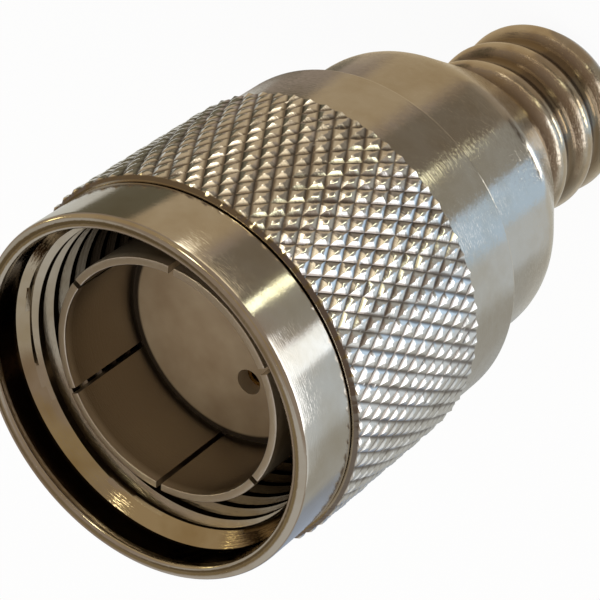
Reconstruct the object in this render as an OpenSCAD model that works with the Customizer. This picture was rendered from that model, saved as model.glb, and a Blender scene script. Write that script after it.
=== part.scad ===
// Twinax cable plug with a knurled coupling nut, standing on the end of its cable neck.
// The axis is Z, the mating end is up, and the origin is the middle of the neck's end face.

/* [Coupling nut] */
// Length of the coupling nut
nut_len = 16.9; // [16:0.1:20]
// Diameter of the plain collars in front of and behind the knurl
collar_d = 17.5; // [17.2:0.05:17.8]
// Length of the front collar
front_collar_len = 3.4; // [2.5:0.1:4]
// Width of the step between the front collar and the knurl
step_w = 0.25; // [0.2:0.05:0.8]
// Depth of that step below the collar
step_depth = 0.3; // [0.2:0.05:0.35]
// Diameter over the knurl's crests
knurl_d = 18.2; // [18:0.05:18.8]
// Depth of the knurl from crest to groove
knurl_depth = 0.4; // [0.3:0.05:0.5]
// Length of the knurled band
knurl_len = 9.6; // [7:0.1:10]
// Number of grooves around the knurl, each way
knurl_starts = 66; // [50:2:80]
// Length of one knurl diamond along the axis
diamond_len = 1.45; // [1.2:0.05:2]
// How far the mouth opens into the wall around the thread, as a share of that wall
mouth_share = 0.6; // [0.3:0.01:0.7]
// Depth of the straight mouth
mouth_depth = 1.65; // [1:0.05:2.2]
// Length of the bevel that leads into the thread
lead_in_len = 0.7; // [0.3:0.05:1.2]
// Hole through the thread's crests, for a 5/8 inch thread of 24 turns to the inch
thread_hole_d = 14.9; // [14.7:0.05:15.2]
// Length of the thread
thread_len = 9; // [5:0.1:9.4]
// How far the relief behind the thread opens into that wall, as a share of it
relief_share = 0.55; // [0.3:0.01:0.6]
// Thickness of the web that keeps the nut on the plug
web_len = 2; // [1.5:0.1:2.4]
// Width of the broken edges on the turned pieces
edge = 0.12; // [0.05:0.01:0.18]

/* [Outer contact sleeve] */
// Distance from the nut's front face back to the finger tips
sleeve_setback = 2; // [1:0.1:3]
// Diameter over the spring fingers
finger_d = 11.85; // [11.5:0.05:12.1]
// Thickness of the spring fingers
finger_wall = 0.38; // [0.3:0.02:0.5]
// Depth from the finger tips to the insulator's face
finger_depth = 4.8; // [3.5:0.1:5.5]
// Number of slots between the fingers
slot_count = 6; // [4:2:8]
// Width of a slot
slot_w = 0.28; // [0.2:0.01:0.6]
// Length of a slot from the finger tips
slot_len = 6; // [5:0.1:7]
// How much thicker the sleeve is behind the fingers
sleeve_step = 0.375; // [0.2:0.025:0.5]
// How much wider the sleeve is bored behind the fingers, where the insulators sit
seat_step = 0.18; // [0.1:0.01:0.25]
// Height of the flange that holds the nut's web, above the journal
flange_h = 0.65; // [0.4:0.05:0.7]
// Thickness of that flange
flange_len = 1.8; // [1:0.1:2.2]
// Diameter of the journal that the nut turns on
journal_d = 13.2; // [12.8:0.05:13.6]
// Wall of the spigot inside the rear body
spigot_wall = 0.5; // [0.4:0.05:0.8]
// Length of that spigot
spigot_len = 3.4; // [2.5:0.1:4]

/* [Insulators] */
// Length of the front insulator
front_insulator_len = 5.7; // [4.5:0.1:6.5]
// Gap between the front insulator's boss and the fingers around it
boss_gap = 0.2; // [0.1:0.05:0.5]
// Height of that boss
boss_len = 0.12; // [0.05:0.01:0.15]
// Thickness of the rear insulator's disc
rear_disc_len = 2.5; // [1.5:0.1:3.5]
// Wall of the rear insulator's skirt
skirt_wall = 0.9; // [0.7:0.05:1.2]
// Distance between the two contacts
contact_spacing = 4.8; // [4.2:0.1:5.4]
// Diameter of the holes where the mating pins enter
entry_d = 1.25; // [1.1:0.05:1.5]

/* [Socket contacts] */
// Outer diameter of the spring socket
socket_d = 1.75; // [1.55:0.05:2]
// Bore of the spring socket
socket_bore_d = 0.9; // [0.7:0.05:1.1]
// Depth of the socket's bore
socket_depth = 3.5; // [2.5:0.1:4.5]
// Distance of the socket's tip behind the insulator's face
socket_recess = 0.8; // [0.4:0.1:1.2]
// Width of the socket's spring slit
slit_w = 0.18; // [0.1:0.02:0.3]
// Diameter of the collar held between the insulators
contact_collar_d = 2.5; // [2.2:0.05:3]
// Length of that collar
contact_collar_len = 1.2; // [0.8:0.1:1.6]
// Outer diameter of the solder cup
cup_d = 1.9; // [1.7:0.05:2.1]
// Bore of the solder cup
cup_bore_d = 1.3; // [1:0.05:1.5]
// Depth of the solder cup's bore
cup_depth = 3; // [2:0.1:4]
// Length of the contact behind its collar
tail_len = 5.4; // [4:0.1:6.5]

/* [Rear body] */
// Diameter of the smooth barrel
barrel_d = 15.3; // [15:0.05:16]
// Length of the smooth barrel
barrel_len = 5.3; // [5:0.1:8]
// Length of the tapered shoulder
shoulder_len = 3.55; // [2.5:0.05:5]
// Diameter at the shoulder's rear edge
shoulder_d = 11.3; // [10.8:0.05:12.5]
// Length of the ridged neck
neck_len = 9.05; // [8.4:0.05:12]
// Diameter of the neck between its ridges
neck_d = 8.3; // [8.1:0.05:8.6]
// Diameter over the ridges
ridge_d = 9.4; // [9.1:0.05:9.8]
// Number of ridges
ridge_count = 3; // [1:1:3]
// Distance from one ridge to the next
ridge_pitch = 2.58; // [2.2:0.02:2.7]
// Radius of a ridge's round section
ridge_round = 1; // [0.8:0.05:1.05]
// Plain length between the last ridge and the neck's end
ridge_margin = 0.08; // [0.05:0.01:0.5]
// Bore for the cable
cable_bore_d = 7; // [6:0.1:7.4]
// Diameter of the space around the solder cups
cavity_d = 9.2; // [8.6:0.1:9.6]

/* [Fits] */
// Radial clearance of the nut on its journal
run_gap = 0.05; // [0.02:0.01:0.1]
// End play of the nut on each side of its web
nut_play = 0.12; // [0.05:0.01:0.2]
// Clearance between pieces that sit in each other
fit_gap = 0.02; // [0.01:0.01:0.04]

/* [Hidden] */

$fn = 96;
cut = 1;                 // overlap of a cutter past the face that it opens
nickel = "#B3AC9C";
moulded_tan = "#7A6A55";
gilt = "#C9A75A";

// heights along the axis, from the neck's end up to the nut's front face
z_shoulder = neck_len;
z_barrel = z_shoulder + shoulder_len;
z_seat = z_barrel + barrel_len;
z_nut = z_seat + nut_play;
z_web = z_nut + web_len;
z_flange = z_web + nut_play;
z_front = z_nut + nut_len;
z_tips = z_front - sleeve_setback;
z_face = z_tips - finger_depth;
z_boss = z_face - boss_len;
z_split = z_face - front_insulator_len;
z_stop = z_seat - spigot_len - fit_gap;

// the nut's stations, measured back from its front face
z_mouth = z_front - mouth_depth;
z_thread = z_mouth - lead_in_len;
z_relief = z_thread - thread_len;
z_collar = z_front - front_collar_len;
z_knurl_top = z_collar - step_w;
z_knurl = z_knurl_top - knurl_len;

// radii that several pieces share
sleeve_bore_r = finger_d / 2 - finger_wall;
seat_r = sleeve_bore_r + seat_step;
spigot_r = seat_r + spigot_wall;
flange_r = journal_d / 2 + flange_h;
insulator_r = seat_r - fit_gap;
skirt_r = insulator_r - skirt_wall;

// the knurl's grid: columns around it, rows along it, and how far it runs into the rear collar
knurl_cols = 2 * knurl_starts;
knurl_rows = 2 * round(knurl_len / diamond_len);
knurl_root_r = knurl_d / 2 - knurl_depth;
knurl_sunk = 0.05;
knurl_bed_r = knurl_root_r - knurl_sunk;
knurl_inner_r = knurl_bed_r - 0.1;

// the nut's wall around the thread, at its thinnest under the step and the knurl
thread_r = thread_hole_d / 2;
step_r = collar_d / 2 - step_depth;
nut_wall = min(step_r, knurl_bed_r) - thread_r;
mouth_r = thread_r + mouth_share * nut_wall;
relief_r = thread_r + relief_share * nut_wall;

// a turned solid from its half section, given as [radius, height] points
module turned(section) {
    rotate_extrude()
        polygon(section);
}

// The knurled band: a ring whose outside is a grid of points, crests and groove crossings in turn.
// Every square of the grid is split along the groove, and both end rows lie at the groove's depth.
function knurl_point(col, row) =
    let (ends = row == 0 || row == knurl_rows)
    let (crest = (col + row) % 2 == 0 && !ends)
    let (r = crest ? knurl_d / 2 : knurl_root_r)
    let (a = 360 * col / knurl_cols)
    let (low = z_knurl - knurl_sunk)
    [r * cos(a), r * sin(a), low + (z_knurl_top - low) * row / knurl_rows];

function ring_point(col, z) =
    let (a = 360 * col / knurl_cols)
    [knurl_inner_r * cos(a), knurl_inner_r * sin(a), z];

module knurl_band() {
    last = knurl_cols - 1;
    inner = (knurl_rows + 1) * knurl_cols;
    points = [
        for (row = [0 : knurl_rows]) for (col = [0 : last]) knurl_point(col, row),
        for (col = [0 : last]) ring_point(col, z_knurl - knurl_sunk),
        for (col = [0 : last]) ring_point(col, z_knurl_top)
    ];
    outside = [
        for (row = [0 : knurl_rows - 1]) for (col = [0 : last])
            let (next = (col + 1) % knurl_cols)
            let (a = row * knurl_cols + col, b = row * knurl_cols + next)
            let (d = a + knurl_cols, c = b + knurl_cols)
            each (col + row) % 2 == 0 ? [[a, d, b], [b, d, c]] : [[a, c, b], [a, d, c]]
    ];
    rest = [
        for (col = [0 : last])
            let (next = (col + 1) % knurl_cols)
            let (top = knurl_rows * knurl_cols)
            let (low = inner, high = inner + knurl_cols)
            each [
                [col, next, low + next], [col, low + next, low + col],
                [top + col, high + col, high + next], [top + col, high + next, top + next],
                [low + col, low + next, high + next], [low + col, high + next, high + col]
            ]
    ];
    polyhedron(points, concat(outside, rest));
}

module coupling_nut() {
    collar_r = collar_d / 2;
    web_r = journal_d / 2 + run_gap;
    color(nickel) {
        turned([
            [web_r, z_nut],
            [collar_r - edge, z_nut],
            [collar_r, z_nut + edge],
            [collar_r, z_knurl],
            [knurl_bed_r, z_knurl],
            [knurl_bed_r, z_knurl_top],
            [step_r, z_knurl_top],
            [step_r, z_collar],
            [collar_r, z_collar],
            [collar_r, z_front - 2 * edge],
            [collar_r - edge, z_front],
            [mouth_r + edge, z_front],
            [mouth_r, z_front - edge],
            [mouth_r, z_mouth],
            [thread_r, z_thread],
            [thread_r, z_relief],
            [relief_r, z_relief],
            [relief_r, z_web],
            [web_r, z_web]
        ]);
        knurl_band();
    }
}

module outer_contact_sleeve() {
    z_slot_end = z_tips - slot_len;
    z_spigot = z_seat - spigot_len;
    finger_r = finger_d / 2;
    sleeve_r = finger_r + sleeve_step;
    color(nickel)
        difference() {
            turned([
                [seat_r, z_spigot],
                [spigot_r, z_spigot],
                [spigot_r, z_seat],
                [journal_d / 2, z_seat],
                [journal_d / 2, z_flange],
                [flange_r, z_flange],
                [flange_r, z_flange + flange_len],
                [sleeve_r, z_flange + flange_len],
                [sleeve_r, z_face - sleeve_step],
                [finger_r, z_face],
                [finger_r, z_tips],
                [sleeve_bore_r, z_tips],
                [sleeve_bore_r, z_boss],
                [seat_r, z_boss]
            ]);
            // slots lie midway between the contacts' directions
            for (i = [0 : slot_count - 1])
                rotate(360 * (i + 0.5) / slot_count)
                    translate([sleeve_bore_r - cut, -slot_w / 2, z_slot_end])
                        cube([finger_wall + sleeve_step + 2 * cut, slot_w, slot_len + cut]);
        }
}

// a hole through one insulator at each contact, from z_low to z_high
module contact_holes(d, z_low, z_high) {
    for (side = [-1, 1])
        translate([side * contact_spacing / 2, 0, z_low])
            cylinder(d = d, h = z_high - z_low);
}

module front_insulator() {
    color(moulded_tan)
        difference() {
            turned([
                [0, z_split],
                [insulator_r, z_split],
                [insulator_r, z_boss],
                [sleeve_bore_r - boss_gap, z_boss],
                [sleeve_bore_r - boss_gap, z_face],
                [0, z_face]
            ]);
            contact_holes(entry_d, z_split - cut, z_face + cut);
            contact_holes(socket_d + 2 * fit_gap, z_split - cut, z_face - socket_recess + fit_gap);
            contact_holes(contact_collar_d + 2 * fit_gap, z_split - cut, z_split + contact_collar_len / 2);
        }
}

module rear_insulator() {
    z_disc = z_split - rear_disc_len;
    color(moulded_tan)
        difference() {
            turned([
                [0, z_disc],
                [skirt_r, z_disc],
                [skirt_r, z_stop],
                [insulator_r, z_stop],
                [insulator_r, z_split],
                [0, z_split]
            ]);
            contact_holes(cup_d + 2 * fit_gap, z_disc - cut, z_split + cut);
            contact_holes(contact_collar_d + 2 * fit_gap, z_split - contact_collar_len / 2, z_split + cut);
        }
}

module socket_contact(side) {
    z_tip = z_face - socket_recess;
    z_top = z_split + contact_collar_len / 2;
    z_low = z_split - contact_collar_len / 2;
    z_cup = z_low - tail_len;
    color(gilt)
        translate([side * contact_spacing / 2, 0, 0])
            difference() {
                turned([
                    [0, z_cup],
                    [cup_d / 2, z_cup],
                    [cup_d / 2, z_low],
                    [contact_collar_d / 2, z_low],
                    [contact_collar_d / 2, z_top],
                    [socket_d / 2, z_top],
                    [socket_d / 2, z_tip],
                    [0, z_tip]
                ]);
                translate([0, 0, z_tip - socket_depth])
                    cylinder(d = socket_bore_d, h = socket_depth + cut);
                translate([0, 0, z_cup - cut])
                    cylinder(d = cup_bore_d, h = cup_depth + cut);
                translate([-slit_w / 2, 0, z_tip - socket_depth])
                    cube([slit_w, socket_d, socket_depth + cut]);
            }
}

module socket_contact_a() {
    socket_contact(1);
}

module socket_contact_b() {
    socket_contact(-1);
}

module rear_body() {
    neck_r = neck_d / 2;
    cable_r = cable_bore_d / 2;
    cavity_r = cavity_d / 2;
    z_cone = z_shoulder + (cavity_r - cable_r);
    color(nickel)
        difference() {
            union() {
                turned([
                    [0, 0],
                    [neck_r - edge, 0],
                    [neck_r, edge],
                    [neck_r, z_shoulder],
                    [shoulder_d / 2 - edge, z_shoulder],
                    [shoulder_d / 2, z_shoulder + edge],
                    [barrel_d / 2, z_barrel],
                    [barrel_d / 2, z_seat - edge],
                    [barrel_d / 2 - edge, z_seat],
                    [0, z_seat]
                ]);
                for (i = [0 : ridge_count - 1])
                    translate([0, 0, ridge_margin + ridge_round + i * ridge_pitch])
                        rotate_extrude()
                            translate([ridge_d / 2 - ridge_round, 0])
                                circle(r = ridge_round);
            }
            turned([
                [0, -cut],
                [cable_r, -cut],
                [cable_r, z_cone],
                [cavity_r, z_cone + cavity_r - cable_r],
                [cavity_r, z_stop],
                [spigot_r + fit_gap, z_stop],
                [spigot_r + fit_gap, z_seat + cut],
                [0, z_seat + cut]
            ]);
        }
}

rear_body();
coupling_nut();
outer_contact_sleeve();
front_insulator();
rear_insulator();
socket_contact_a();
socket_contact_b();
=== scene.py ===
import math

import bmesh
import bpy
from mathutils import Matrix, Vector


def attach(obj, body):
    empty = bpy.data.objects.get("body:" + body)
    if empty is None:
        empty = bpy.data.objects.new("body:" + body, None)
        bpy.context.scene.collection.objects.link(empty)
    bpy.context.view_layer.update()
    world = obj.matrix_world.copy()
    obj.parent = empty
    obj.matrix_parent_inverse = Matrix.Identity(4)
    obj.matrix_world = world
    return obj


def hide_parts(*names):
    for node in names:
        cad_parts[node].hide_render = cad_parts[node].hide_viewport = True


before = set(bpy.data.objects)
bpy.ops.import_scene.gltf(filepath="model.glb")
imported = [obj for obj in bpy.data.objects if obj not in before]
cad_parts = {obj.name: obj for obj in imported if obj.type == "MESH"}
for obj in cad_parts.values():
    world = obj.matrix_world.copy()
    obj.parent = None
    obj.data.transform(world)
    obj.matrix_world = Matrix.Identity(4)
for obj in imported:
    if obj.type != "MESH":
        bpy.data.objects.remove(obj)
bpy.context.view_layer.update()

# Sizes of the turned pieces, in millimetres. Heights are above the neck's end face. A name that ends in R is
# a radius, one that ends in EASE is how far an edge is rounded, and STEPS are the flats of a full turn.
MM = 0.001

# the coupling nut
NUT_STEPS, NUT_EASE_CUTS = 528, 6
NUT_BACK, NUT_FRONT = 18.02, 34.92
COLLAR_R, STEP_R, WEB_R, RELIEF_R = 8.75, 8.45, 6.65, 8.0
WEB_TOP, RELIEF_TOP, STEP_TOP = 20.02, 23.57, 31.52
MOUTH_R, MOUTH_LOW = 8.05, 33.27
RIM_FOOT, RIM_EASE, COLLAR_EASE, STEP_EASE = 34.5, 0.315, 0.16, 0.06
# a face that is no further than this behind the bevel is part of it
BEVEL_SLACK = 0.02

# its knurl: grooves each way, grid rows to a diamond and in all, and half a groove's share of their spacing
KNURL_LOW, KNURL_TOP, KNURL_END_R = 21.67, 31.45, 8.85
KNURL_CREST_R, KNURL_GROOVE_R = 9.1, 8.985
KNURL_STARTS, KNURL_CUTS, KNURL_ROWS, KNURL_HALF_GROOVE = 66, 8, 54, 0.375
# wear: how far it sinks, its patches to a millimetre, and the noise levels where it begins and is complete
KNURL_WEAR, KNURL_WEAR_SCALE, KNURL_WEAR_START, KNURL_WEAR_FULL = 0.025, 0.9, 0.35, 0.65

# its thread: the root runs out towards a smaller radius up the bevel; grid rows to a turn, and rows to spare
THREAD_CREST_R, THREAD_ROOT_R, THREAD_RUNOUT_R, THREAD_HALF_ROOT = 7.45, 7.94, 7.05, 0.066
THREAD_PITCH, THREAD_CUTS, THREAD_SPARE = 1.058, 6, 5
THREAD_START, THREAD_TOP = 22.558, 32.57

# the finger sleeve
SLEEVE_STEPS = 192
SPIGOT_R, SPIGOT_END, JOURNAL_R = 6.225, 14.5, 6.6
FLANGE_R, FLANGE_LOW, FLANGE_TOP = 7.25, 20.14, 21.94
FINGER_R, FINGER_BORE_R, FINGER_TIPS = 5.925, 5.545, 32.92
FINGER_ROOT_R, FINGER_ROOT_TOP = 6.3, 27.745
SEAT_R, SLEEVE_EASE, TIP_EASE = 5.725, 0.1, 0.05
SLOTS, SLOT_W, SLOT_LEN = 6, 0.28, 6.0
SAW_R, SAW_REACH, SAW_OVERRUN = 5.8, 2.0, 1.0

# the front insulator, whose holes step in from the back: for a contact's collar, for its barrel, for the pin
DISC_STEPS, DISC_EASE_CUTS = 128, 2
INSULATOR_R, INSULATOR_BACK, INSULATOR_FACE = 5.705, 22.42, 28.12
BOSS_R, BOSS_FOOT, BOSS_EASE, INSULATOR_EASE = 5.345, 28.0, 0.06, 0.1
CONTACTS, CONTACT_X, DRILL_STEPS = 2, 2.4, 40
DRILL_LOW, DRILL_TOP = 21.0, 29.0
COLLAR_HOLE_R, COLLAR_HOLE_TOP = 1.27, 23.02
BARREL_HOLE_R, BARREL_HOLE_TOP, PIN_HOLE_R = 0.895, 27.34, 0.625

# the rear body
BODY_STEPS = 256
NECK_R, RIDGE_R, RIDGE_LOW, RIDGE_PITCH, RIDGE_RINGS = 4.15, 4.7, 1.08, 2.58, 56
# the hollow between the last ridge and the shoulder
RIDGE_TOP = RIDGE_LOW + 2.5 * RIDGE_PITCH
CABLE_R, CABLE_TOP, CAVITY_R, CAVITY_LOW = 3.5, 10.15, 4.6, 11.25
SPIGOT_BORE_R, SPIGOT_SEAT = 6.245, 14.48
SHOULDER, SHOULDER_R = 9.05, 5.65
BARREL_R, BARREL_LOW, BARREL_TOP = 7.65, 12.6, 17.9
CABLE_EASE, NECK_EASE, SHOULDER_EASE = 0.1, 0.12, 0.2
TAPER_EASE, BARREL_EASE, BORE_EASE = 0.5, 0.15, 0.08
# faces of the neck that are further than this from the cable bore are its outside
NECK_WALL = 0.2

# Places of node inputs: Map Range's value and its two ranges, then Mix's factor, numbers and colours.
VALUE, FROM_LOW, FROM_HIGH, TO_LOW, TO_HIGH = range(5)
FACTOR, NUMBER_A, NUMBER_B, COLOUR_A, COLOUR_B = 0, 2, 3, 6, 7


def linear(hex_colour, strength=1.0):
    """An sRGB hex colour as linear red, green, blue and alpha."""
    parts = [int(hex_colour[i:i + 2], 16) / 255 for i in (1, 3, 5)]
    made = [c / 12.92 if c <= 0.04045 else ((c + 0.055) / 1.055) ** 2.4 for c in parts]
    return (*[strength * c for c in made], 1.0)


def fill(tree, node, inputs):
    """Sets a node's inputs. Each takes a value, a socket, or a node's first live output."""
    for place, value in inputs.items():
        if isinstance(value, bpy.types.Node):
            value = next(o for o in value.outputs if o.enabled)
        if isinstance(value, bpy.types.NodeSocket):
            tree.links.new(value, node.inputs[place])
        else:
            node.inputs[place].default_value = value


def add(tree, kind, inputs=None, **settings):
    """Adds a node with its settings, and sets its inputs."""
    made = tree.nodes.new(kind)
    for name, value in settings.items():
        setattr(made, name, value)
    fill(tree, made, inputs or {})
    return made


def placed(name, data):
    """A new object in the scene."""
    made = bpy.data.objects.new(name, data)
    bpy.context.scene.collection.objects.link(made)
    return made


# Making of shapes

# a rounding takes at most this share of the edges beside it
EDGE_SHARE = 0.45
# a point nearer the axis is on it, points nearer each other become one, and thinner faces are taken out
AXIS_R, WELD, SLIVER = 1e-6, 2e-4, 1e-5


def eased(corners, closed=True, cuts=4):
    """Rounds an outline's corners. Each corner is (radius, height) or (radius, height, rounding)."""
    points = [Vector(c[:2]) for c in corners]
    made = []
    for i, corner in enumerate(corners):
        ends = not closed and i in (0, len(corners) - 1)
        if len(corner) == 2 or ends:
            made.append(points[i])
            continue
        before, after = points[i - 1] - points[i], points[(i + 1) % len(points)] - points[i]
        start = points[i] + before.normalized() * min(corner[2], before.length * EDGE_SHARE)
        end = points[i] + after.normalized() * min(corner[2], after.length * EDGE_SHARE)
        for k in range(cuts + 1):
            t = k / cuts
            made.append(start * (1 - t) ** 2 + points[i] * 2 * t * (1 - t) + end * t ** 2)
    return made


def turned(name, outline, steps, closed=True):
    """Spins an outline of (radius, height) about the plug's axis, anticlockwise for faces that look out."""
    shape = bmesh.new()
    rings = []
    for r, z in outline:
        count = steps if r > AXIS_R else 1
        turns = [math.tau * i / steps for i in range(count)]
        rings.append([shape.verts.new((r * math.cos(a), r * math.sin(a), z)) for a in turns])
    following = rings[1:] + rings[:1] if closed else rings[1:]
    for first, second in zip(rings, following):
        if len(first) == 1 and len(second) == 1:
            continue
        for i in range(steps):
            j = (i + 1) % steps
            loop = [first[i % len(first)], first[j % len(first)],
                    second[j % len(second)], second[i % len(second)]]
            shape.faces.new(list(dict.fromkeys(loop)))
    mesh = bpy.data.meshes.new(name)
    shape.to_mesh(mesh)
    shape.free()
    return mesh


def rule_tree(name, sizes):
    """An empty node tree with one named input for each size, and the sockets that give those inputs."""
    tree = bpy.data.node_groups.new(name, "GeometryNodeTree")
    tree.interface.new_socket("Geometry", in_out="INPUT", socket_type="NodeSocketGeometry")
    tree.interface.new_socket("Geometry", in_out="OUTPUT", socket_type="NodeSocketGeometry")
    kinds = {int: "NodeSocketInt", float: "NodeSocketFloat"}
    for size, value in sizes.items():
        kind = kinds.get(type(value), "NodeSocketObject")
        tree.interface.new_socket(size, in_out="INPUT", socket_type=kind)
    return tree, tree.nodes.new("NodeGroupInput").outputs


def end_tree(tree, shape, finish):
    """Ends a node tree in plain geometry of one material."""
    real = add(tree, "GeometryNodeRealizeInstances", {0: shape})
    coated = add(tree, "GeometryNodeSetMaterial", {"Geometry": real, "Material": finish})
    add(tree, "NodeGroupOutput", {0: coated})


def by_rule(name, tree, sizes, mesh=None):
    """Runs a node tree with its named sizes and gives the plain mesh that it makes."""
    holder = placed(name, mesh or bpy.data.meshes.new(name))
    rule = holder.modifiers.new(name, "NODES")
    rule.node_group = tree
    for item in tree.interface.items_tree:
        if item.in_out == "INPUT" and item.name in sizes:
            rule[item.identifier] = sizes[item.name]
    evaluated = holder.evaluated_get(bpy.context.evaluated_depsgraph_get())
    made = bpy.data.meshes.new_from_object(evaluated)
    holder.modifiers.remove(rule)
    bpy.data.objects.remove(holder)
    return made


def piece(name, parts, body, slot, *nodes, crease=30):
    """Joins meshes that are each one material into one closed piece in metres, on its body."""
    shape = bmesh.new()
    mesh = bpy.data.meshes.new(name)
    for index, (part, material) in enumerate(parts):
        first = len(shape.faces)
        shape.from_mesh(part)
        shape.faces.ensure_lookup_table()
        for face in shape.faces[first:]:
            face.material_index = index
            face.smooth = True
        mesh.materials.append(material)
    bmesh.ops.remove_doubles(shape, verts=shape.verts, dist=WELD)
    bmesh.ops.dissolve_degenerate(shape, edges=shape.edges, dist=SLIVER)
    bmesh.ops.triangulate(shape, faces=[f for f in shape.faces if len(f.verts) > 4])
    shape.transform(Matrix.Scale(MM, 4))
    shape.to_mesh(mesh)
    shape.free()
    mesh.set_sharp_from_angle(angle=math.radians(crease))
    made = placed(name, mesh)
    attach(made, body)
    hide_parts(*nodes)
    return made


# Materials

# Marks on plated metal: sizes in millimetres, and scales in marks to a metre. START and FULL are the levels
# of a noise at which a mark begins and is complete.
# lathe rings, twice as coarse as the tool's feed so that they show; on flat faces they follow the radius
RING_GAP, RING_FACE_SHARE, MARK_DEPTH = 0.09, 0.6, 0.008
# short nicks and scratches round the axis, about 0.3 mm long
NICK_WIDTH, NICKS_TO_RADIAN, NICK_START, NICK_FULL = 0.08, 30.0, 0.5, 0.72
# dull patches of 2 to 4 mm where the plating has aged
PATCH_SCALE, PATCH_START, PATCH_FULL = 330.0, 0.42, 0.7
# shallow dents of about 0.7 mm from handling, which make the edges of reflections uneven
DENT_SCALE, DENT_WEIGHT, NICK_WEIGHT = 1400.0, 2.0, 0.9
# what age and nicks add to the roughness
BRIGHT_ROUGH, AGED_ROUGH, NICK_ROUGH, BUMP_STRENGTH = -0.02, 0.04, 0.06, 0.5

# Resin: flow clouds of about 2 mm, and a grain of 0.1 mm that is coarser than the real one so that it shows.
CLOUD_SCALE, CLOUD_START, CLOUD_FULL = 500.0, 0.35, 0.7
GRAIN_SCALE, GRAIN_DEPTH, GRAIN_STRENGTH = 10000.0, 0.01, 0.2
GRAIN_SMOOTH, GRAIN_ROUGH, RESIN_IOR = -0.05, 0.1, 1.5


def new_material(name):
    """A material with nodes, and its node tree."""
    material = bpy.data.materials.new(name)
    material.use_nodes = True
    return material, material.node_tree


def about_axis(tree, spot):
    """The turn of a spot about the plug's axis, its distance from the axis and its height."""
    xyz = add(tree, "ShaderNodeSeparateXYZ", {0: spot}).outputs
    flat = add(tree, "ShaderNodeCombineXYZ", {0: xyz[0], 1: xyz[1]})
    out = add(tree, "ShaderNodeVectorMath", {0: flat}, operation="LENGTH")
    turn = add(tree, "ShaderNodeMath", {0: xyz[1], 1: xyz[0]}, operation="ARCTAN2")
    return turn, out, xyz[2]


def plated(name, plating, warm, rough, scratch=1.0, dirt_and_shade=None, deep=None):
    """Plating on turned brass: a mirror of two tones, drawn out along tool marks that run round the axis.

    Painted shade darkens it by radius, with real dirt as well in some hollows, and by height: the place where
    it is full, where it ends, and its colour.
    """
    material, tree = new_material(name)
    spot = add(tree, "ShaderNodeTexCoord").outputs["Object"]
    turn, out, up = about_axis(tree, spot)
    along = add(tree, "ShaderNodeMath", {0: out, 1: RING_FACE_SHARE, 2: up}, operation="MULTIPLY_ADD")

    rings = add(tree, "ShaderNodeMath", {0: along, 1: 1 / (RING_GAP * MM)}, operation="MULTIPLY")
    feed = add(tree, "ShaderNodeTexNoise", {"W": rings, "Scale": 1.0, "Detail": 1.0}, noise_dimensions="1D")

    sweep = add(tree, "ShaderNodeMath", {0: turn, 1: NICKS_TO_RADIAN}, operation="MULTIPLY")
    across = add(tree, "ShaderNodeMath", {0: along, 1: 1 / (NICK_WIDTH * MM)}, operation="MULTIPLY")
    lay = add(tree, "ShaderNodeCombineXYZ", {0: sweep, 1: across})
    brush = add(tree, "ShaderNodeTexNoise", {"Vector": lay, "Scale": 1.0, "Detail": 2.0, "Roughness": 0.6})
    nicks = add(tree, "ShaderNodeMapRange", {VALUE: brush, FROM_LOW: NICK_START, FROM_HIGH: NICK_FULL})

    patch = add(tree, "ShaderNodeTexNoise", {
        "Vector": spot, "Scale": PATCH_SCALE, "Detail": 3.0, "Roughness": 0.6})
    aged = add(tree, "ShaderNodeMapRange", {VALUE: patch, FROM_LOW: PATCH_START, FROM_HIGH: PATCH_FULL})
    colour = add(tree, "ShaderNodeMix", {
        FACTOR: aged, COLOUR_A: linear(plating), COLOUR_B: linear(warm)}, data_type="RGBA")
    # painted shade by radius and by height; in the hollows of the neck and the knurl it is real dirt as well
    for place, shade in ((out, dirt_and_shade), (up, deep)):
        if shade:
            full, end, darkening_colour = shade
            undarkened = add(tree, "ShaderNodeMapRange", {VALUE: place, FROM_LOW: full * MM, FROM_HIGH: end * MM})
            colour = add(tree, "ShaderNodeMix", {
                FACTOR: undarkened, COLOUR_A: linear(darkening_colour), COLOUR_B: colour}, data_type="RGBA")
    gloss = add(tree, "ShaderNodeMapRange", {
        VALUE: aged, TO_LOW: rough + BRIGHT_ROUGH, TO_HIGH: rough + AGED_ROUGH})
    gloss = add(tree, "ShaderNodeMath", {
        0: nicks, 1: NICK_ROUGH * scratch, 2: gloss}, operation="MULTIPLY_ADD")

    dents = add(tree, "ShaderNodeTexNoise", {"Vector": spot, "Scale": DENT_SCALE, "Detail": 2.0})
    height = add(tree, "ShaderNodeMath", {0: dents, 1: DENT_WEIGHT, 2: feed}, operation="MULTIPLY_ADD")
    height = add(tree, "ShaderNodeMath", {0: nicks, 1: NICK_WEIGHT, 2: height}, operation="MULTIPLY_ADD")
    bump = add(tree, "ShaderNodeBump", {
        "Height": height, "Strength": BUMP_STRENGTH * scratch, "Distance": MARK_DEPTH * MM})
    fill(tree, tree.nodes["Principled BSDF"], {
        "Metallic": 1.0, "Base Color": colour, "Roughness": gloss, "Normal": bump})
    return material


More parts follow.
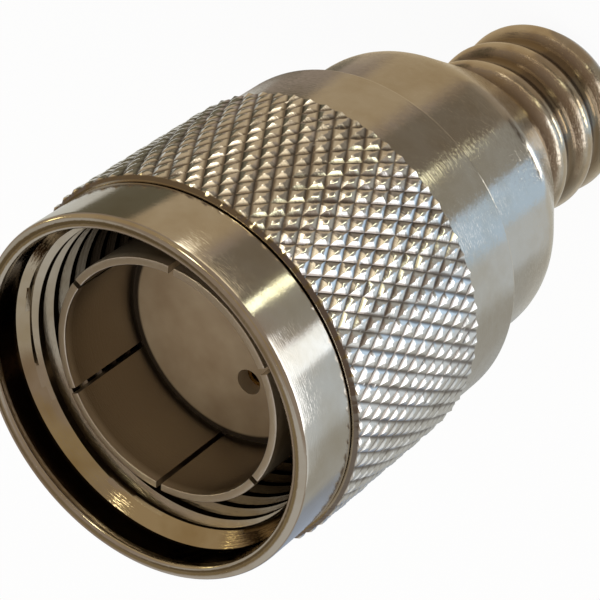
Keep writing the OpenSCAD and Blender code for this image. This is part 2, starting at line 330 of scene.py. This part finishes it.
def moulded(name, face, dark, rough, corner):
    """Filled moulding resin: matt, with flow clouds and a fine grain.

    A corner gets painted shade by radius: the place where it starts, where it is full, and its colour.
    """
    material, tree = new_material(name)
    spot = add(tree, "ShaderNodeTexCoord").outputs["Object"]
    cloud = add(tree, "ShaderNodeTexNoise", {"Vector": spot, "Scale": CLOUD_SCALE, "Detail": 3.0})
    grain = add(tree, "ShaderNodeTexNoise", {"Vector": spot, "Scale": GRAIN_SCALE, "Detail": 1.0})
    flow = add(tree, "ShaderNodeMapRange", {VALUE: cloud, FROM_LOW: CLOUD_START, FROM_HIGH: CLOUD_FULL})
    colour = add(tree, "ShaderNodeMix", {
        FACTOR: flow, COLOUR_A: linear(face), COLOUR_B: linear(dark)}, data_type="RGBA")
    # painted shade darkens the resin outwards from the corner's start radius
    start, full, darkening_colour = corner
    out = about_axis(tree, spot)[1]
    painted_corner_shade = add(tree, "ShaderNodeMapRange", {VALUE: out, FROM_LOW: start * MM, FROM_HIGH: full * MM})
    colour = add(tree, "ShaderNodeMix", {
        FACTOR: painted_corner_shade, COLOUR_A: colour, COLOUR_B: linear(darkening_colour)}, data_type="RGBA")
    gloss = add(tree, "ShaderNodeMapRange", {
        VALUE: grain, TO_LOW: rough + GRAIN_SMOOTH, TO_HIGH: rough + GRAIN_ROUGH})
    bump = add(tree, "ShaderNodeBump", {
        "Height": grain, "Strength": GRAIN_STRENGTH, "Distance": GRAIN_DEPTH * MM})
    fill(tree, tree.nodes["Principled BSDF"], {
        "IOR": RESIN_IOR, "Base Color": colour, "Roughness": gloss, "Normal": bump})
    return material


# nickel as the lathe left it: a warm grey mirror with fine streaks and uneven edges to its reflections
NICKEL_TURNED = plated("nickel_plate_turned", "#C8C0B2", "#BBAF9B", 0.12)
# the front collar is buffed, so that its reflections are cleaner
NICKEL_SMOOTH = plated("nickel_plate_smooth_collar", "#C8C0B2", "#BBAF9B", 0.11, scratch=0.35)
# the neck's ridges are bright on top, and their hollows are darkened brown with dirt and painted shade
NICKEL_POLISHED = plated("nickel_plate_polished_neck", "#C4B6A1", "#AC987C", 0.16, scratch=0.9,
                         dirt_and_shade=(4.25, 4.62, "#7A6851"))
# the mouth is bored smooth and bright, and painted shade darkens its straight wall above the bevel
NICKEL_BORED = plated("nickel_plate_bored", "#C0B49F", "#AE9D80", 0.07, scratch=0.3,
                      deep=(33.5, 33.28, "#5A4C3C"))
# pressed pyramids: pale bright facets, with grey dirt and painted shade down in the grooves
NICKEL_KNURLED = plated("nickel_plate_knurled", "#E6E1D8", "#DAD2C5", 0.1, scratch=0.5,
                        dirt_and_shade=(8.985, 9.03, "#80756A"))
# thread turns: bright crests over dark roots, and darker the deeper they are, all of it painted shade
NICKEL_THREADED = plated("nickel_plate_threaded", "#C8BFAE", "#B8AB94", 0.2, scratch=0.6,
                         dirt_and_shade=(7.94, 7.75, "#4A3E30"), deep=(28.5, 31.8, "#2E271F"))
# the fingers are satin grey, with painted shade that darkens them below their tips
NICKEL_SATIN = plated("nickel_plate_satin_fingers", "#DDD5C9", "#CFC4B4", 0.3, deep=(32.4, 32.7, "#A79C8C"))
# thin gold on turned brass: a deep yellow gleam inside the contact holes
GILT = plated("gilt_brass_contacts", "#D8B56A", "#B98F48", 0.2)
# filled resin: matt tan in soft clouds, with a line of painted shade round the boss
RESIN = moulded("moulding_resin_tan", "#A89478", "#957F63", 0.55, corner=(5.1, 5.22, "#2E2419"))


# The coupling nut: a turned shell with a knurled band outside and thread turns inside

def flat_grid(tree, size):
    """A grid of columns and rows, with its place round the axis (-0.5 to 0.5) and up it (0 to 1)."""
    grid = add(tree, "GeometryNodeMeshGrid", {"Vertices X": size["Columns"], "Vertices Y": size["Rows"]})
    place = add(tree, "ShaderNodeSeparateXYZ", {0: add(tree, "GeometryNodeInputPosition")}).outputs
    share = add(tree, "ShaderNodeMath", {0: place[1], 1: 0.5}, operation="ADD")
    return grid, place[0], share


def heading(tree, place, full_turn):
    """East and north of a place round the axis."""
    turn = add(tree, "ShaderNodeMath", {0: place, 1: full_turn}, operation="MULTIPLY")
    return [add(tree, "ShaderNodeMath", {0: turn}, operation=way) for way in ("COSINE", "SINE")]


def rolled(tree, grid, out, east, north, up):
    """Moves a grid's points to a radius, a heading and a height."""
    x = add(tree, "ShaderNodeMath", {0: out, 1: east}, operation="MULTIPLY")
    y = add(tree, "ShaderNodeMath", {0: out, 1: north}, operation="MULTIPLY")
    spot = add(tree, "ShaderNodeCombineXYZ", {0: x, 1: y, 2: up})
    return add(tree, "GeometryNodeSetPosition", {"Geometry": grid, "Position": spot})


def knurl_tree(sizes):
    """A band of blunt pyramids between two families of V grooves that cross, a little unevenly pressed."""
    tree, size = rule_tree("knurl", sizes)
    grid, place, share = flat_grid(tree, size)
    east, north = heading(tree, place, math.tau)
    up = add(tree, "ShaderNodeMapRange", {VALUE: share, TO_LOW: size["Low"], TO_HIGH: size["Top"]})

    start = add(tree, "ShaderNodeMath", {0: place, 1: size["Starts"]}, operation="MULTIPLY")
    lift = add(tree, "ShaderNodeMath", {0: share, 1: size["Diamonds"]}, operation="MULTIPLY")
    beds = []
    for sense in ("ADD", "SUBTRACT"):
        lane = add(tree, "ShaderNodeMath", {0: start, 1: lift}, operation=sense)
        gap = add(tree, "ShaderNodeMath", {0: lane, 1: 0.5}, operation="PINGPONG")
        beds.append(add(tree, "ShaderNodeMapRange", {
            VALUE: gap, FROM_HIGH: size["Groove half width"],
            TO_LOW: size["Groove radius"], TO_HIGH: size["Crest radius"]}))
    land = add(tree, "ShaderNodeMath", {0: beds[0], 1: beds[1]}, operation="MINIMUM")

    # the wear follows the place on the band, so that it meets itself after a full turn
    ring = add(tree, "ShaderNodeCombineXYZ", {0: east, 1: north})
    ring = add(tree, "ShaderNodeVectorMath", {0: ring, "Scale": size["Groove radius"]}, operation="SCALE")
    level = add(tree, "ShaderNodeCombineXYZ", {2: up})
    spot = add(tree, "ShaderNodeVectorMath", {0: ring, 1: level}, operation="ADD")
    worn = add(tree, "ShaderNodeTexNoise", {"Vector": spot, "Scale": size["Wear scale"], "Detail": 1.0})
    sunk = add(tree, "ShaderNodeMapRange", {
        VALUE: worn, FROM_LOW: KNURL_WEAR_START, FROM_HIGH: KNURL_WEAR_FULL, TO_HIGH: size["Wear"]})
    full = add(tree, "ShaderNodeMath", {0: land, 1: sunk}, operation="SUBTRACT")

    # both ends run down to a plain edge
    middle = add(tree, "ShaderNodeMath", {0: share, 1: 0.5}, operation="PINGPONG")
    fade = add(tree, "ShaderNodeMapRange", {VALUE: middle, FROM_HIGH: size["End chamfer"]})
    out = add(tree, "ShaderNodeMapRange", {VALUE: fade, TO_LOW: size["End radius"], TO_HIGH: full})
    band = rolled(tree, grid, out, east, north, up)
    cut = add(tree, "GeometryNodeTriangulate", {0: band}, quad_method="SHORTEST_DIAGONAL")
    end_tree(tree, cut, NICKEL_KNURLED)
    return tree


def thread_tree(sizes):
    """The nut's bore: a bevel, then a plain hole, with a V groove that winds through both."""
    tree, size = rule_tree("thread", sizes)
    grid, place, share = flat_grid(tree, size)
    east, north = heading(tree, place, -math.tau)

    # every column starts lower than the one before it, by its share of the pitch, and both ends are cut level
    rows = add(tree, "ShaderNodeMath", {0: size["Rows"], 1: -1.0}, operation="ADD")
    row = add(tree, "ShaderNodeMath", {0: share, 1: rows}, operation="MULTIPLY")
    tall = add(tree, "ShaderNodeMath", {
        0: row, 1: size["Row height"], 2: size["Start"]}, operation="MULTIPLY_ADD")
    wind = add(tree, "ShaderNodeMath", {0: place, 1: size["Pitch"]}, operation="MULTIPLY")
    climb = add(tree, "ShaderNodeMath", {0: tall, 1: wind}, operation="SUBTRACT")
    low = add(tree, "ShaderNodeMath", {0: climb, 1: size["Low"]}, operation="MAXIMUM")
    up = add(tree, "ShaderNodeMath", {0: low, 1: size["Top"]}, operation="MINIMUM")

    bevel = {VALUE: up, FROM_LOW: size["Bevel foot"], FROM_HIGH: size["Top"]}
    plain = add(tree, "ShaderNodeMapRange", {
        **bevel, TO_LOW: size["Crest radius"], TO_HIGH: size["Mouth radius"]})
    root = add(tree, "ShaderNodeMapRange", {
        **bevel, TO_LOW: size["Root radius"], TO_HIGH: size["Run-out radius"]})

    # the flanks of a 60 degree thread, from the root's flat to the plain hole
    run = add(tree, "ShaderNodeMath", {0: row, 1: size["Row height"]}, operation="MULTIPLY")
    half = add(tree, "ShaderNodeMath", {0: size["Pitch"], 1: 0.5}, operation="MULTIPLY")
    gap = add(tree, "ShaderNodeMath", {0: run, 1: half}, operation="PINGPONG")
    gap = add(tree, "ShaderNodeMath", {0: gap, 1: size["Root half width"]}, operation="SUBTRACT")
    gap = add(tree, "ShaderNodeMath", {0: gap, 1: 0.0}, operation="MAXIMUM")
    flank = add(tree, "ShaderNodeMath", {0: gap, 1: -math.sqrt(3), 2: root}, operation="MULTIPLY_ADD")
    deep = add(tree, "ShaderNodeMath", {0: flank, 1: plain}, operation="MAXIMUM")
    inside = add(tree, "ShaderNodeMath", {0: climb, 1: size["Low"]}, operation="GREATER_THAN")
    out = add(tree, "ShaderNodeMix", {FACTOR: inside, NUMBER_A: plain, NUMBER_B: deep})
    end_tree(tree, rolled(tree, grid, out, east, north, up), NICKEL_THREADED)
    return tree


def make_coupling_nut():
    """Turned strips, the knurled band and the threaded bore, which meet at shared rims as a closed shell."""
    knurl_sizes = {
        "Columns": NUT_STEPS + 1, "Rows": KNURL_ROWS + 1, "Starts": float(KNURL_STARTS),
        "Diamonds": KNURL_ROWS / KNURL_CUTS, "Groove half width": KNURL_HALF_GROOVE,
        "Groove radius": KNURL_GROOVE_R, "Crest radius": KNURL_CREST_R,
        "Wear": KNURL_WEAR, "Wear scale": KNURL_WEAR_SCALE,
        "End chamfer": 1 / KNURL_ROWS, "End radius": KNURL_END_R, "Low": KNURL_LOW, "Top": KNURL_TOP}
    row = THREAD_PITCH / THREAD_CUTS
    rows = math.ceil((MOUTH_LOW - RELIEF_TOP) / row) + THREAD_CUTS + THREAD_SPARE
    thread_sizes = {
        "Columns": NUT_STEPS + 1, "Rows": rows + 1, "Row height": row, "Pitch": THREAD_PITCH,
        "Start": THREAD_START, "Low": RELIEF_TOP, "Top": MOUTH_LOW, "Bevel foot": THREAD_TOP,
        "Crest radius": THREAD_CREST_R, "Mouth radius": MOUTH_R, "Root radius": THREAD_ROOT_R,
        "Run-out radius": THREAD_RUNOUT_R, "Root half width": THREAD_HALF_ROOT}
    knurl = by_rule("knurl", knurl_tree(knurl_sizes), knurl_sizes)
    thread = by_rule("thread", thread_tree(thread_sizes), thread_sizes)
    back_outline = [
        (THREAD_CREST_R, RELIEF_TOP), (RELIEF_R, RELIEF_TOP), (RELIEF_R, WEB_TOP), (WEB_R, WEB_TOP),
        (WEB_R, NUT_BACK), (COLLAR_R, NUT_BACK, COLLAR_EASE), (COLLAR_R, KNURL_LOW),
        (KNURL_END_R, KNURL_LOW)]
    front_outline = [
        (KNURL_END_R, KNURL_TOP), (STEP_R, KNURL_TOP, STEP_EASE), (STEP_R, STEP_TOP, STEP_EASE),
        (COLLAR_R, STEP_TOP, STEP_EASE), (COLLAR_R, NUT_FRONT, RIM_EASE),
        (MOUTH_R, NUT_FRONT, RIM_EASE), (MOUTH_R, RIM_FOOT)]
    back, front = [
        turned(name, eased(outline, closed=False, cuts=NUT_EASE_CUTS), NUT_STEPS, closed=False)
        for name, outline in (("nut_back", back_outline), ("nut_front", front_outline))]
    bore = turned("nut_bore", [(MOUTH_R, RIM_FOOT), (MOUTH_R, MOUTH_LOW)], NUT_STEPS, closed=False)
    parts = [(bore, NICKEL_BORED), (back, NICKEL_TURNED), (front, NICKEL_SMOOTH), (knurl, NICKEL_KNURLED),
             (thread, NICKEL_THREADED)]
    made = piece("knurled_nut", parts, "nut", "nut_nickel", "coupling_nut", crease=24)

    # the bevel is bored bright, apart from the groove that winds through it
    slope = (MOUTH_R - THREAD_CREST_R) / (MOUTH_LOW - THREAD_TOP)
    for face in made.data.polygons:
        r, z = face.center.xy.length / MM, face.center.z / MM
        bevel_r = THREAD_CREST_R + (z - THREAD_TOP) * slope
        if THREAD_TOP < z < MOUTH_LOW and r < bevel_r + BEVEL_SLACK:
            face.material_index = 0


# The plug inside it

def cut_tree(sizes, finish):
    """Takes a cutter out of the shape at even turns about the axis."""
    tree, size = rule_tree("cuts", sizes)
    tool = add(tree, "GeometryNodeObjectInfo", {0: size["Cutter"]}, transform_space="RELATIVE")
    spots = add(tree, "GeometryNodePoints", {"Count": size["Count"]})
    index = add(tree, "GeometryNodeInputIndex")
    step = add(tree, "ShaderNodeMath", {0: index, 1: size["Offset"]}, operation="ADD")
    step = add(tree, "ShaderNodeMath", {0: step, 1: math.tau}, operation="MULTIPLY")
    turn = add(tree, "ShaderNodeMath", {0: step, 1: size["Count"]}, operation="DIVIDE")
    set_out = add(tree, "GeometryNodeInstanceOnPoints", {
        "Points": spots, "Instance": tool.outputs["Geometry"],
        "Rotation": add(tree, "ShaderNodeCombineXYZ", {2: turn})})
    tools = add(tree, "GeometryNodeRealizeInstances", {0: set_out})
    done = add(tree, "GeometryNodeMeshBoolean", {0: size["Geometry"], 1: tools},
               operation="DIFFERENCE", solver="EXACT")
    end_tree(tree, done, finish)
    return tree


def cut_round(name, mesh, cutter, finish, count, offset=0.0):
    """Cuts one shape at even turns about the axis, from an offset in steps: finger slots, contact holes."""
    tool = placed(name + "_cutter", cutter)
    sizes = {"Cutter": tool, "Count": count, "Offset": offset}
    made = by_rule(name, cut_tree(sizes, finish), sizes, mesh)
    bpy.data.objects.remove(tool)
    return made


def make_finger_sleeve():
    """Six spring fingers on a flanged sleeve, bored wider behind them for the insulators."""
    shell = turned("sleeve", eased([
        (SEAT_R, SPIGOT_END), (SPIGOT_R, SPIGOT_END, SLEEVE_EASE), (SPIGOT_R, BARREL_TOP),
        (JOURNAL_R, BARREL_TOP), (JOURNAL_R, FLANGE_LOW), (FLANGE_R, FLANGE_LOW, SLEEVE_EASE),
        (FLANGE_R, FLANGE_TOP, SLEEVE_EASE), (FINGER_ROOT_R, FLANGE_TOP), (FINGER_ROOT_R, FINGER_ROOT_TOP),
        (FINGER_R, INSULATOR_FACE), (FINGER_R, FINGER_TIPS, TIP_EASE), (FINGER_BORE_R, FINGER_TIPS, TIP_EASE),
        (FINGER_BORE_R, BOSS_FOOT), (SEAT_R, BOSS_FOOT)]), SLEEVE_STEPS)
    saw = bpy.data.meshes.new("slot_saw")
    shape = bmesh.new()
    low, high = FINGER_TIPS - SLOT_LEN, FINGER_TIPS + SAW_OVERRUN
    size = Matrix.Diagonal((SAW_REACH, SLOT_W, high - low, 1.0))
    place = Matrix.Translation((SAW_R, 0, (low + high) / 2)) @ size
    bmesh.ops.create_cube(shape, size=1.0, matrix=place)
    shape.to_mesh(saw)
    shape.free()
    slotted = cut_round("finger_slots", shell, saw, NICKEL_SATIN, SLOTS, offset=0.5)
    piece("finger_sleeve", [(slotted, NICKEL_SATIN)], "plug", "sleeve_nickel", "outer_contact_sleeve")


def make_front_insulator():
    """A moulded plug with a round boss inside the fingers and two stepped holes, one for each contact."""
    disc = turned("disc", eased([
        (0, INSULATOR_BACK), (INSULATOR_R, INSULATOR_BACK, INSULATOR_EASE), (INSULATOR_R, BOSS_FOOT),
        (BOSS_R, BOSS_FOOT), (BOSS_R, INSULATOR_FACE, BOSS_EASE), (0, INSULATOR_FACE)],
        cuts=DISC_EASE_CUTS), DISC_STEPS)
    drill = turned("contact_drill", [
        (0, DRILL_LOW), (COLLAR_HOLE_R, DRILL_LOW), (COLLAR_HOLE_R, COLLAR_HOLE_TOP),
        (BARREL_HOLE_R, COLLAR_HOLE_TOP), (BARREL_HOLE_R, BARREL_HOLE_TOP), (PIN_HOLE_R, BARREL_HOLE_TOP),
        (PIN_HOLE_R, DRILL_TOP), (0, DRILL_TOP)], DRILL_STEPS)
    drill.transform(Matrix.Translation((CONTACT_X, 0, 0)))
    drilled = cut_round("contact_holes", disc, drill, RESIN, CONTACTS)
    piece("insulator_disc", [(drilled, RESIN)], "plug", "insulator", "front_insulator")


def make_rear_body():
    """Barrel, tapered shoulder and the ridged neck that the braid is crimped to."""
    neck = [(CABLE_R, 0, CABLE_EASE)]
    for k in range(RIDGE_RINGS + 1):
        z = RIDGE_TOP * k / RIDGE_RINGS
        wave = (1 + math.cos(math.tau * (z - RIDGE_LOW) / RIDGE_PITCH)) / 2
        ring = (NECK_R + (RIDGE_R - NECK_R) * wave, z)
        neck.append(ring if k else (*ring, NECK_EASE))
    outline = eased(neck + [
        (NECK_R, SHOULDER, NECK_EASE), (SHOULDER_R, SHOULDER, SHOULDER_EASE),
        (BARREL_R, BARREL_LOW, TAPER_EASE), (BARREL_R, BARREL_TOP, BARREL_EASE),
        (SPIGOT_BORE_R, BARREL_TOP, BORE_EASE), (SPIGOT_BORE_R, SPIGOT_SEAT), (CAVITY_R, SPIGOT_SEAT),
        (CAVITY_R, CAVITY_LOW), (CABLE_R, CABLE_TOP)])
    mesh = turned("body", outline, BODY_STEPS)
    made = piece("turned_body", [(mesh, NICKEL_TURNED)], "plug", "body_nickel", "rear_body")
    made.data.materials.append(NICKEL_POLISHED)
    for face in made.data.polygons:
        if face.center.z < SHOULDER * MM and face.center.xy.length > (CABLE_R + NECK_WALL) * MM:
            face.material_index = 1


make_coupling_nut()
make_finger_sleeve()
make_front_insulator()
make_rear_body()
for node, finish in (("rear_insulator", RESIN), ("socket_contact_a", GILT), ("socket_contact_b", GILT)):
    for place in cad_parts[node].material_slots:
        place.material = finish


# The studio. Lengths are in metres, apart from the tent's, and angles in degrees.

CAMERA_TURN = 111.2
CAMERA_PLACE = (-0.0294306, 0.0758586, 0.1042024)
CAMERA_RIGHT, CAMERA_UP = Vector((0.34331, 0.74626, -0.57030)), Vector((-0.90202, 0.09278, -0.42160))
CAMERA_LENS, CAMERA_SENSOR, CAMERA_NEAR = 150.0, 36.0, 0.002
FLOOR_R, FLOOR_STEPS, FLOOR_WHITE = 4.0, 64, 0.93
LAMP_TURN, LAMP_RISE, LAMP_AWAY = CAMERA_TURN - 60, 42, 0.45
LAMP_SIZE, LAMP_POWER, WORLD_STRENGTH = 0.3, 0.7, 0.75
PLUG_MIDDLE = 0.017
TENT, TENT_STEPS = [(0, 0.3), (95, 0.3), (130, 60), (130, 150), (60, 220), (0, 225)], 64

# What stands round the plug and is seen only in its metal. Each board has the turn from the camera and the
# rise from the plug's middle that it fills, then how soft its edges are, its colour and its strength. A board
# covers those above it in the list.
ROOM = ("#A2958A", 1.0)
BOARDS = {
    "grey wall": ((-180, -70), (-90, -12), 8, "#B6B8B6", 1.0),
    "cool wall behind": ((-180, -112), (-26, -12), 6, "#A0AABB", 1.0),
    "pale table": ((-76, -36), (-90, -12), 12, "#E6F1FC", 0.85),
    "sky on the table": ((-46, -19), (-90, -27), 5, "#C8E2FF", 1.1),
    "window": ((-62, -13), (-18, -4), 3, "#EEF4FF", 3.2),
    "foot of the window": ((-38, -22), (-28, -17), 4, "#E5F0FF", 2.2),
    "grey front": ((-20, 6), (-90, -19), 6, "#A9A9A5", 1.0),
    "shade in front": ((6, 36), (-90, -12), 6, "#847C71", 1.0),
    "tan board": ((42, 86), (-90, -12), 10, "#BFAE93", 1.0),
    "tan by the neck": ((40, 180), (-90, -47), 8, "#CBBB9F", 1.0),
    "brown by the neck": ((4, 40), (-90, -47), 8, "#A69A8A", 1.0),
    "dark gap": ((84, 122), (-34, -12), 5, "#6E6959", 1.0),
    "dark foot": ((112, 180), (-49, -40), 5, "#766F61", 1.0),
    "pale wall left": ((121, 180), (-38, -12), 6, "#D2D2CC", 1.0),
    "shade under the ridges": ((-36, 6), (-59, -49), 6, "#5A5048", 1.0),
    "pale by the neck": ((-130, -48), (-90, -47), 10, "#D2D2CC", 1.0),
    "white by the neck": ((-38, -14), (-63, -55), 3, "#FFFFFA", 4.5),
    "warm lamp in front": ((2, 7.5), (-31.5, -6), 2, "#FCFFE2", 2.8),
    "silver wall": ((-165, -70), (2, 72), 15, "#C6C4C1", 1.0),
    "gold wall": ((40, 130), (2, 50), 15, "#B3A081", 1.0),
    "gold ceiling": ((-45, 75), (46, 62), 8, "#A8956F", 1.0),
    "silver corner": ((132, 160), (12, 60), 10, "#B9B5AE", 1.0),
    "dark corner": ((160, 180), (34, 56), 6, "#6A5C44", 1.0),
    "brown corner": ((-180, -166), (34, 56), 6, "#8A7A5C", 1.0),
    "pale strip": ((12, 42), (-17, -8), 3, "#D8CCB4", 1.8),
    "side of the window": ((-92, -62), (-18, -6), 6, "#DCE2E8", 1.2),
    "standing lamp": ((44, 53), (-18, -10), 2, "#FFF8E4", 3.0),
    "ceiling lamp": ((44, 57), (46, 56), 2, "#FFF6D0", 8.0),
    "side lamp": ((117, 124), (22, 28), 2, "#FFF0B4", 5.0),
}


def seen_white(tree):
    """1 for rays from the camera, from gloss and through glass, which see the studio white, else 0."""
    ray = add(tree, "ShaderNodeLightPath").outputs
    seen = ray["Is Camera Ray"]
    for kind in ("Is Glossy Ray", "Is Transmission Ray"):
        seen = add(tree, "ShaderNodeMath", {0: seen, 1: ray[kind]}, operation="MAXIMUM")
    return seen


def make_floor():
    """A white floor. Camera, metal and glass see it white, with the object's shadow still on it."""
    mesh = bpy.data.meshes.new("floor")
    shape = bmesh.new()
    bmesh.ops.create_circle(shape, cap_ends=True, segments=FLOOR_STEPS, radius=FLOOR_R)
    shape.to_mesh(mesh)
    shape.free()
    floor = placed("floor", mesh)
    material, tree = new_material("studio_floor")
    tree.nodes.remove(tree.nodes["Principled BSDF"])
    share = add(tree, "ShaderNodeMath", {0: seen_white(tree), 1: FLOOR_WHITE}, operation="MULTIPLY")
    matt = add(tree, "ShaderNodeBsdfDiffuse", {"Color": linear("#F6F6F6")})
    white = add(tree, "ShaderNodeEmission", {"Color": linear("#FFFFFF"), "Strength": 1.0})
    mixed = add(tree, "ShaderNodeMixShader", {0: share, 1: matt, 2: white})
    fill(tree, tree.nodes["Material Output"], {0: mixed})
    mesh.materials.append(material)


def make_boards():
    """A round tent of boards, seen only by reflections."""
    drum = turned("boards", TENT, TENT_STEPS, closed=False)
    drum.transform(Matrix.Scale(MM, 4))
    boards = placed("boards", drum)
    for kind in ("camera", "diffuse", "shadow", "transmission"):
        setattr(boards, "visible_" + kind, False)
    material, tree = new_material("studio_boards")
    material.cycles.emission_sampling = "NONE"
    tree.nodes.remove(tree.nodes["Principled BSDF"])
    spot = add(tree, "ShaderNodeTexCoord").outputs["Object"]
    faced = add(tree, "ShaderNodeVectorRotate", {"Vector": spot, "Angle": math.radians(-CAMERA_TURN)})
    turn, out, up = about_axis(tree, faced)
    over = add(tree, "ShaderNodeMath", {0: up, 1: -PLUG_MIDDLE}, operation="ADD")
    rise = add(tree, "ShaderNodeMath", {0: over, 1: out}, operation="ARCTAN2")
    colour = linear(*ROOM)
    for turns, rises, soft, paint, strength in BOARDS.values():
        covers = []
        for angle, (low, high) in ((turn, turns), (rise, rises)):
            middle = math.radians((low + high) / 2)
            half, blur = math.radians((high - low) / 2), math.radians(soft / 2)
            off = add(tree, "ShaderNodeMath", {0: angle, 1: middle}, operation="SUBTRACT")
            off = add(tree, "ShaderNodeMath", {0: off}, operation="ABSOLUTE")
            covers.append(add(tree, "ShaderNodeMapRange", {
                VALUE: off, FROM_LOW: half + blur, FROM_HIGH: half - blur}, interpolation_type="SMOOTHSTEP"))
        cover = add(tree, "ShaderNodeMath", {0: covers[0], 1: covers[1]}, operation="MULTIPLY")
        colour = add(tree, "ShaderNodeMix", {
            FACTOR: cover, COLOUR_A: colour, COLOUR_B: linear(paint, strength)}, data_type="RGBA")
    glow = add(tree, "ShaderNodeEmission", {"Color": colour, "Strength": 1.0})
    fill(tree, tree.nodes["Material Output"], {0: glow})
    drum.materials.append(material)


def make_light():
    """Soft even studio light, and one broad lamp from the window's side."""
    world = bpy.data.worlds.new("studio")
    world.use_nodes = True
    bpy.context.scene.world = world
    tree = world.node_tree
    soft = add(tree, "ShaderNodeBackground", {"Color": linear("#F4F0EA"), "Strength": WORLD_STRENGTH})
    white = add(tree, "ShaderNodeBackground", {"Color": linear("#FFFFFF"), "Strength": 1.0})
    mixed = add(tree, "ShaderNodeMixShader", {0: seen_white(tree), 1: soft, 2: white})
    fill(tree, tree.nodes["World Output"], {0: mixed})
    lamp = bpy.data.lights.new("window_lamp", "AREA")
    lamp.shape, lamp.size, lamp.energy = "DISK", LAMP_SIZE, LAMP_POWER
    made = placed("window_lamp", lamp)
    turn, rise = math.radians(LAMP_TURN), math.radians(LAMP_RISE)
    flat = LAMP_AWAY * math.cos(rise)
    made.location = (flat * math.cos(turn), flat * math.sin(turn), LAMP_AWAY * math.sin(rise))
    made.rotation_mode = "QUATERNION"
    made.rotation_quaternion = made.location.to_track_quat("Z", "Y")
    made.visible_camera = made.visible_glossy = False


def make_camera():
    """The photograph's view, fitted to the ellipses of the rim and the collars."""
    camera = bpy.data.cameras.new("camera")
    camera.lens, camera.sensor_width, camera.clip_start = CAMERA_LENS, CAMERA_SENSOR, CAMERA_NEAR
    made = placed("camera", camera)
    turn = Matrix((CAMERA_RIGHT, CAMERA_UP, CAMERA_RIGHT.cross(CAMERA_UP))).transposed()
    made.matrix_world = Matrix.Translation(CAMERA_PLACE) @ turn.to_4x4()
    bpy.context.scene.camera = made


make_floor()
make_boards()
make_light()
make_camera()
bpy.context.scene.view_settings.view_transform = "Standard"
